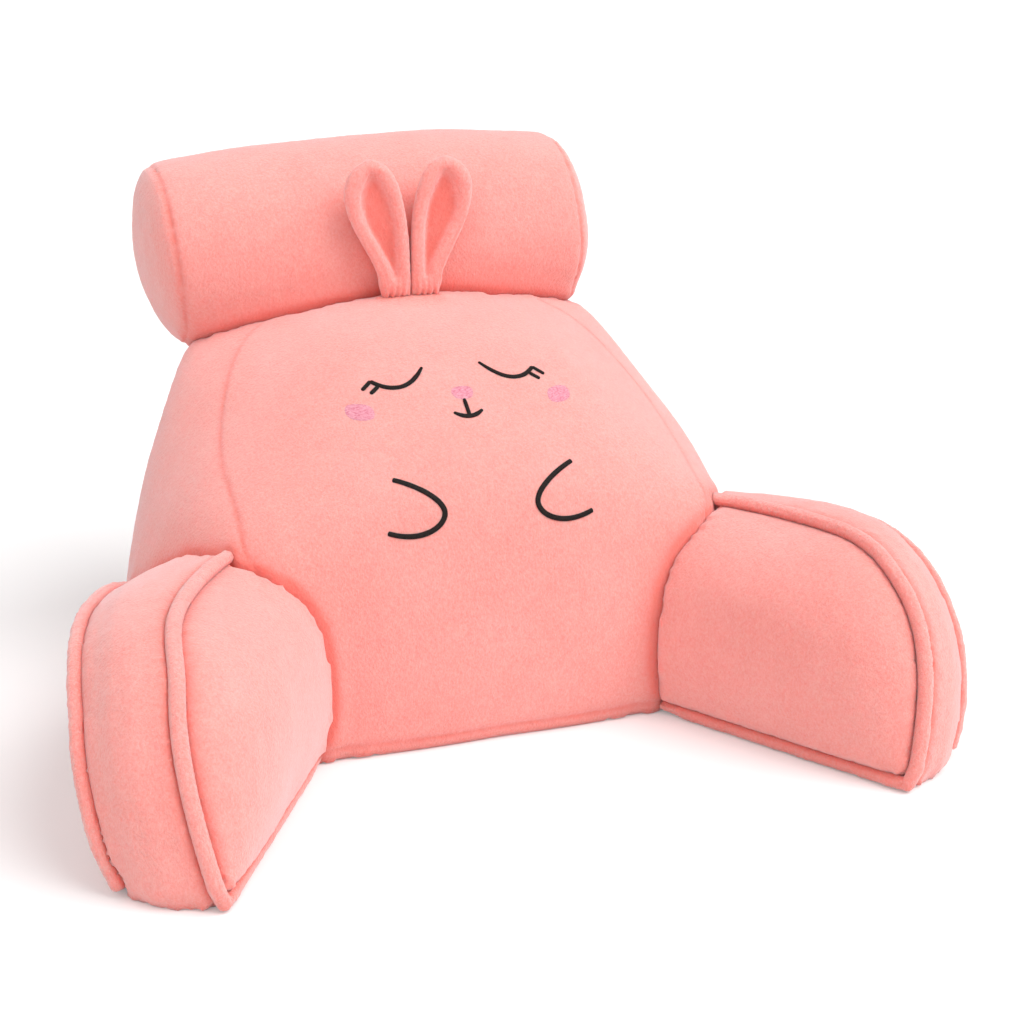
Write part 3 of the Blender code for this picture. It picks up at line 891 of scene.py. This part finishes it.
@dataclass
class Welt(FilledPiece):
    """One padded piping strip, a little lumpy and thinner where the junction seam catches it."""

    voxel: float = 0.0029
    start_in: float = 0.0
    frames: int = 0
    fill: float = 0.9
    unevenness: float = 0.00055
    uneven_size: float = 0.012
    pimples: float = 0.0004
    pimple_size: float = 0.0038
    even_band: Pair = (0.0006, 0.0040)
    root_reach: float = 0.034  # the welt thins this near to the body ...
    root_thinning: float = 0.0034  # ... by this much ...
    root_curve: float = 1.3    # ... and the more, the nearer
    crease_shade_reach: float = 0.004
    refine_joins: tuple[float, ...] = ()

    @classmethod
    def on(cls, place: str, side: Side) -> "Welt":
        """The inner or outer welt of one arm."""
        node = "piping_" + place + "_" + side.word
        return cls(node, node + "_welt", Slot.PIPING, ("arm_" + side.word, "backrest"))

    def settle(self, piece: Object) -> None:
        """Keep the welt on its solid's skin."""
        points = points_of(piece.data)
        for i, place in enumerate(points):
            on_skin, outward, _, _ = self.solid.find_nearest(Vector(place))
            points[i] = on_skin + outward * self.snug
        put_points(piece.data, points)

    def relief(self, piece: Object) -> None:
        """Lumps all over, and a thin root that sinks towards the arm."""
        points = points_of(piece.data)
        outward = normals_of(piece.data)
        height = self.unevenness * lumps(points, self.uneven_size, 2.3)
        height += self.pimples * lumps(points, self.pimple_size, 5.9)
        arm = skin_of([self.neighbours[0]])
        down = np.array([tuple(arm.find_nearest(Vector(p))[0]) for p in points]) - points
        to_arm = np.linalg.norm(down, axis=1)
        free = rise(to_arm, *self.even_band)
        root = 1.0 - rise(distances(points, skin_of(["backrest"])), 0.0, self.root_reach)
        thinning = self.root_thinning * free * root ** self.root_curve
        sink = down * (thinning / np.maximum(to_arm, 1e-6))[:, None]
        put_on_floor(piece.data, points + outward * (height * free)[:, None] + sink)


@dataclass
class Ear(FilledPiece):
    """One padded ear with its rim, hollow front and gathered foot."""

    side: Side = Side.LEFT
    voxel: float = 0.0022
    start_in: float = 0.0
    frames: int = 0
    proud: float = 0.0018
    sunk: float = -0.0012
    fill: float = 0.7
    unevenness: float = 0.0005
    uneven_size: float = 0.016
    pimples: float = 0.00035
    pimple_size: float = 0.0042
    crease_shade_reach: float = 0.008
    refine_joins: tuple[float, ...] = ()
    pleat: float = 0.0007      # folds where the foot is gathered ...
    pleat_width: float = 0.0052
    pleat_lean: float = 0.004  # ... which lean a little outwards ...
    pleat_top: float = 0.24    # ... up to this share of the height
    stitch_in: float = 0.0062  # a line of stitches runs this far inside the outer edge ...
    stitch_depth: float = 0.0010
    stitch_width: float = 0.0011
    stitch_top: float = 0.62   # ... up to this share of the height
    stitch_fade: float = 0.1
    rows: int = 41             # heights at which the outer edge is looked up, each in a band ...
    row_reach: float = 0.02    # ... that reaches this share up and down
    hollow_from: float = 0.0035  # painted shade covers the hollow from this far behind the front ...
    hollow_reach: float = 0.004
    hollow_shade: float = 0.75
    foot_shade: float = 0.5    # ... and the foot, up to about this share of the height
    foot_share: float = 0.08

    @classmethod
    def on(cls, side: Side) -> "Ear":
        """The ear of one hand."""
        node = "ear_" + side.word
        return cls(node, node + "_plush", Slot.EAR, ("backrest", "neck_roll"), side=side)

    def share_of(self, points: np.ndarray) -> np.ndarray:
        """How high each point lies, as a share of the ear's height."""
        low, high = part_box(self.node)
        return (points[:, 2] - low.z) / (high.z - low.z)

    def extra_relief(self, points: np.ndarray, outward: np.ndarray) -> np.ndarray:
        """Pleats at the foot and the line of stitches along the outer rim."""
        share = self.share_of(points)
        across = self.side.value * points[:, 0]
        turn = 2.0 * math.pi * (across + self.pleat_lean * share) / self.pleat_width
        folds = self.pleat * rise(1.0 - share / self.pleat_top, 0.0, 1.0) * np.sin(turn)
        rows = np.linspace(0.0, 1.0, self.rows)
        bands = [across[np.abs(share - row) < self.row_reach] for row in rows]
        edge = np.interp(share, rows, [band.max() if len(band) else 0.0 for band in bands])
        line = np.exp(-((edge - across - self.stitch_in) / self.stitch_width) ** 2)
        line *= rise(self.stitch_top - share, 0.0, self.stitch_fade) * (outward[:, 1] < -0.1)
        return folds - self.stitch_depth * line

    def paint_crease_shade(self, mesh: Mesh) -> None:
        """Store painted shade over the whole hollow and on the gathered foot."""
        points = points_of(mesh)
        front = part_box(self.node)[0].y + self.hollow_from
        hollow = rise(points[:, 1], front, self.hollow_reach) * (normals_of(mesh)[:, 1] < -0.2)
        foot = np.exp(-self.share_of(points) / self.foot_share)
        store(mesh, "crease", self.hollow_shade * hollow + self.foot_shade * foot)


# ---- embroidery
@dataclass(frozen=True)
class Stroke:
    """A line of satin stitches on the front, drawn in the front elevation."""

    name: str
    places: Sequence[Vector]
    width: float
    start_width: float  # share of the width at either end
    end_width: float


def bow(*knots: Sequence[float], steps: int = 24) -> list[Vector]:
    """A smooth curve from the first place to the last that bends towards those between.

    Args:
        knots: Places in the front elevation, each as x and z.
        steps: How many parts it is drawn in.
    """
    line = []
    for i in range(steps + 1):
        share = i / steps
        left = [Vector((x, 0.0, z)) for x, z in knots]
        while len(left) > 1:
            left = [a.lerp(b, share) for a, b in zip(left, left[1:])]
        line.append(left[0])
    return line


@dataclass
class SleepingFace:
    """A sleeping animal's face and two paws, in satin stitch on the front panel."""

    eye: tuple[Pair, ...] = ((0.0695, 0.2824), (0.0480, 0.2716), (0.0244, 0.2892))
    upper_lash: tuple[Pair, ...] = ((0.0695, 0.2824), (0.0781, 0.2771))
    lower_lash: tuple[Pair, ...] = ((0.0648, 0.2793), (0.0724, 0.2749))
    mouth_top: float = 0.2694
    mouth_low: float = 0.2590
    smile_half: float = 0.0122
    smile_rise: float = 0.0030
    paw_upper: tuple[Pair, ...] = ((0.0752, 0.2229), (0.0580, 0.2190), (0.0388, 0.2085), (0.0388, 0.1985))
    paw_lower: tuple[Pair, ...] = ((0.0388, 0.1985), (0.0388, 0.1885), (0.0580, 0.1765), (0.0858, 0.1867))
    cheek: Pair = (0.0848, 0.2640)
    cheek_radii: Pair = (0.0120, 0.0055)
    nose: Pair = (0.0006, 0.2752)
    nose_radii: Pair = (0.0100, 0.0053)

    pitch: float = 0.00045     # one stitch
    sides: int = 10            # corners of a line's section
    rise: float = 0.0010       # how far a line stands out of the plush ...
    root: float = 0.0007       # ... and reaches into it
    lift: float = 0.0003       # its edges lie this high on the pile
    taper: float = 0.25        # share of a line over which either end narrows
    blunt: float = 0.35        # its very end is this share as wide ...
    blunt_length: float = 0.0009  # ... and gains its width over this length
    ridge: float = 0.10        # every second stitch stands this share higher ...
    ridge_width: float = 0.2   # ... and is wider by this share of that
    ragged: float = 0.05       # how uneven the edges are
    ragged_size: float = 0.0004

    patch_grid: tuple[int, int] = (56, 36)
    patch_rise: float = 0.0007  # how far a patch stands out of the plush in its middle ...
    patch_root: float = 0.0003  # ... and reaches into it at its rim
    patch_thickness: float = 0.0004
    patch_stitch: float = 0.00016  # height of its stitches
    flat_squash: float = 0.62  # a flat top is lower by this factor ...
    flat_shift: float = 0.2    # ... and the whole patch by this share of its radius

    def strokes(self) -> list[Stroke]:
        """All dark lines of the face."""
        made = []
        for side in Side:
            drawn = {
                "eye": (bow(*self.eye), 0.0042, 0.85, 0.6),
                "upper_lash": (bow(*self.upper_lash, steps=6), 0.0037, 0.9, 0.85),
                "lower_lash": (bow(*self.lower_lash, steps=6), 0.0037, 0.9, 0.85),
                "paw": (bow(*self.paw_upper) + bow(*self.paw_lower)[1:], 0.0045, 0.9, 0.9),
            }
            for name, (line, width, start, stop) in drawn.items():
                placed = [Vector((side.value * p.x, 0.0, p.z)) for p in line]
                made.append(Stroke(name + "_" + side.word, placed, width, start, stop))
        stem = bow((0.0, self.mouth_top), (0.0, self.mouth_low), steps=6)
        made.append(Stroke("mouth_stem", stem, 0.0034, 0.75, 0.9))
        high = self.mouth_low + self.smile_rise
        pull = self.mouth_low - self.smile_rise
        smile = bow((-self.smile_half, high), (0.0, pull), (self.smile_half, high))
        made.append(Stroke("mouth_smile", smile, 0.0040, 0.6, 0.6))
        return made

    def build(self, front: BVHTree, dark: Material, rose: Material) -> None:
        """Sew the face onto the finished front.

        Args:
            front: The front's skin.
            dark: Thread of the lines.
            rose: Thread of the cheeks and the nose.
        """
        self.front = front
        for stroke in self.strokes():
            self.finish(self.sewn_line(stroke), dark)
        for side in Side:
            place = (side.value * self.cheek[0], self.cheek[1])
            self.finish(self.patch("cheek_" + side.word, place, self.cheek_radii, False), rose)
        self.finish(self.patch("nose", self.nose, self.nose_radii, True), rose)

    def finish(self, piece: Object, thread: Material) -> None:
        """Give a sewn piece its thread and body."""
        piece.data.materials.append(thread)
        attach(piece, BODY)
        LOG.info("%s: %d faces", piece.name, len(piece.data.polygons))

    def on_front(self, x: float, z: float) -> tuple[Vector, Vector]:
        """The place and outward direction on the front at one spot of the elevation."""
        spot, outward, _, _ = self.front.ray_cast(Vector((x, -1.0, z)), Vector((0.0, 1.0, 0.0)))
        return spot, outward

    def sewn_line(self, stroke: Stroke) -> Object:
        """Sweep a flat round section along a line, one step for each stitch."""
        fine = [self.on_front(p.x, p.z)[0] for p in even(stroke.places, 0.001)]
        places = even(fine, self.pitch)
        form = bmesh.new()
        bmesh.ops.create_circle(form, segments=self.sides, radius=1.0)
        unit = [vertex.co.copy() for vertex in form.verts]
        ring, edges = list(form.verts), list(form.edges)
        last = len(places) - 1
        ends = (0.0, self.taper, 1.0 - self.taper, 1.0)
        for i, place in enumerate(places):
            if i:
                ring, edges = next_ring(form, ring, edges)
            along = (places[min(i + 1, last)] - places[max(i - 1, 0)]).normalized()
            outward = self.on_front(place.x, place.z)[1]
            across = outward.cross(along).normalized()
            width = float(np.interp(i / last, ends, (stroke.start_width, 1.0, 1.0, stroke.end_width)))
            blunt = min(1.0, self.blunt + min(i, last - i) * self.pitch / self.blunt_length)
            ridge = self.ridge if i % 2 else -self.ridge
            ragged = 1.0 + self.ragged * noise.noise(place / self.ragged_size)
            half = 0.5 * stroke.width * width * blunt * ragged * (1.0 + self.ridge_width * ridge)
            for vertex, corner in zip(ring, unit):
                height = self.rise * (1.0 + ridge) * blunt if corner.y > 0.0 else self.root
                vertex.co = place + across * (corner.x * half) + outward * (self.lift + corner.y * height)
        bmesh.ops.holes_fill(form, edges=form.edges, sides=0)
        bmesh.ops.recalc_face_normals(form, faces=form.faces)
        return linked(stroke.name, form)

    def patch(self, name: str, centre: Pair, radii: Pair, flat_top: bool) -> Object:
        """A filled patch of short stitches, round or with a flat top.

        Args:
            name: The piece's name.
            centre: Its middle in the front elevation.
            radii: Half its width and half its height.
            flat_top: Whether its upper half is pressed flat.
        """
        form = bmesh.new()
        columns, rows = self.patch_grid
        bmesh.ops.create_grid(form, x_segments=columns, y_segments=rows, size=1.0)
        for vertex in form.verts:
            u, v = vertex.co.x, vertex.co.y
            x = u * math.sqrt(1.0 - 0.5 * v * v)
            z = v * math.sqrt(1.0 - 0.5 * u * u)
            inside = max(0.0, 1.0 - max(abs(u), abs(v)) ** 6)
            if flat_top:
                z = (z * self.flat_squash if z > 0.0 else z) - self.flat_shift
            ragged = 1.0 + self.ragged * noise.noise(Vector((x * 9.0, z * 9.0, centre[0] * 50.0)))
            spot, outward = self.on_front(
                centre[0] + x * radii[0] * ragged, centre[1] + z * radii[1] * ragged)
            stitch = self.patch_stitch * noise.noise(Vector((spot.x * 420.0, 0.0, spot.z * 2300.0)))
            vertex.co = spot + outward * ((self.patch_rise + stitch) * inside - self.patch_root)
        bmesh.ops.solidify(form, geom=list(form.faces), thickness=self.patch_thickness)
        bmesh.ops.recalc_face_normals(form, faces=form.faces)
        return linked(name, form)


def next_ring(
    form: BMesh, ring: Sequence[BMVert], edges: Sequence[BMEdge]
) -> tuple[list[BMVert], list[BMEdge]]:
    """Extrude a ring once.

    Args:
        form: The shape it belongs to.
        ring: Its corners.
        edges: Its edges.

    Returns:
        The new corners, in the order of those they came from, and the new edges.
    """
    pulled = bmesh.ops.extrude_edge_only(form, edges=edges)["geom"]
    fresh = {item for item in pulled if isinstance(item, BMVert)}
    corners = [
        next(edge.other_vert(vertex) for edge in vertex.link_edges if edge.other_vert(vertex) in fresh)
        for vertex in ring]
    return corners, [item for item in pulled if isinstance(item, BMEdge)]


# ---- studio
@dataclass(frozen=True)
class Lamp:
    """One soft, distant light."""

    name: str
    comes_from: Triple
    strength: float
    spread: float  # how wide it looks, in degrees

    def hang(self) -> None:
        """Hang it in the scene."""
        data = bpy.data.lights.new(self.name, "SUN")
        data.energy = self.strength
        data.angle = math.radians(self.spread)
        lamp = bpy.data.objects.new(self.name, data)
        lamp.rotation_euler = Vector(self.comes_from).to_track_quat("Z", "Y").to_euler()
        bpy.context.scene.collection.objects.link(lamp)


@dataclass(frozen=True)
class Studio:
    """A pale floor, soft light and the camera at the photograph's angle."""

    camera_place: Triple = (-0.5031, -1.5316, 0.7123)
    camera_pan: float = -19.91  # in degrees, and so is the next
    camera_down: float = 18.8
    lens: float = 71.54
    sensor: float = 36.0
    floor_half: float = 16.0
    floor_colour: Colour = (0.80, 0.795, 0.795, 1.0)
    floor_roughness: float = 0.8
    floor_gloss: float = 0.1
    floor_glow: float = 0.20   # added for the camera alone, since the photograph's floor is over-exposed
    sky: float = 0.45
    lamps: tuple[Lamp, ...] = (
        Lamp("key", (0.47, -0.43, 0.77), 2.55, 50.0),
        Lamp("fill", (-0.58, -0.52, 0.63), 0.90, 70.0),
    )

    def build(self) -> None:
        """Set up camera, floor, sky and lamps."""
        self.place_camera()
        self.lay_floor()
        world = bpy.data.worlds.new("studio")
        world.use_nodes = True
        sheet = NodeSheet(world.node_tree)
        seen = sheet.add("ShaderNodeLightPath").outputs["Is Camera Ray"]
        strength = sheet.maths("MULTIPLY_ADD", seen, 1.0 - self.sky, self.sky)
        sheet.fill(world.node_tree.nodes["Background"], Color=WHITE, Strength=strength)
        bpy.context.scene.world = world
        bpy.context.scene.view_settings.view_transform = "Standard"
        for lamp in self.lamps:
            lamp.hang()

    def place_camera(self) -> None:
        """Stand the camera where the photograph was taken from."""
        data = bpy.data.cameras.new("camera")
        data.lens = self.lens
        data.sensor_width = self.sensor
        camera = bpy.data.objects.new("camera", data)
        camera.location = self.camera_place
        tip, pan = math.radians(90.0 - self.camera_down), math.radians(self.camera_pan)
        camera.rotation_euler = Euler((tip, 0.0, pan))
        bpy.context.scene.collection.objects.link(camera)
        bpy.context.scene.camera = camera

    def lay_floor(self) -> None:
        """Lay the floor."""
        form = bmesh.new()
        bmesh.ops.create_grid(form, x_segments=2, y_segments=2, size=self.floor_half)
        floor = linked("floor", form)
        finish = bpy.data.materials.new("pale_floor")
        finish.use_nodes = True
        sheet = NodeSheet(finish.node_tree)
        seen = sheet.add("ShaderNodeLightPath").outputs["Is Camera Ray"]
        sheet.fill(
            finish.node_tree.nodes["Principled BSDF"],
            Base_Color=self.floor_colour, Roughness=self.floor_roughness,
            Specular_IOR_Level=self.floor_gloss, Emission_Color=WHITE,
            Emission_Strength=sheet.maths("MULTIPLY", seen, self.floor_glow))
        floor.data.materials.append(finish)


def main() -> None:
    """Build every piece of the pillow and its studio."""
    logging.basicConfig(level=logging.INFO, format="%(name)s %(message)s")
    pile = pile_group()
    plush = PlushFinish("plush").material(pile)
    welt_plush = PlushFinish("plush_welt", relief=0.8, contrast=0.68).material(pile)
    ear_plush = PlushFinish("plush_ear", relief=0.6).material(pile)
    dark = ThreadFinish(
        "dark_thread", (0.018, 0.012, 0.010, 1.0), (0.006, 0.004, 0.004, 1.0), roughness=0.7).material()
    rose = ThreadFinish(
        "rose_thread", (0.77, 0.36, 0.43, 1.0), (0.64, 0.19, 0.26, 1.0),
        streak=(420.0, 420.0, 1900.0), roughness=0.85).material()
    backrest = Backrest().build(plush)
    NeckRoll().build(plush)
    for side in Side:
        Arm.on(side).build(plush)
        for place in ("inner", "outer"):
            Welt.on(place, side).build(welt_plush)
        Ear.on(side).build(ear_plush)
    SleepingFace().build(cover_skin(backrest), dark, rose)
    Studio().build()


if __name__ == "__main__":
    main()
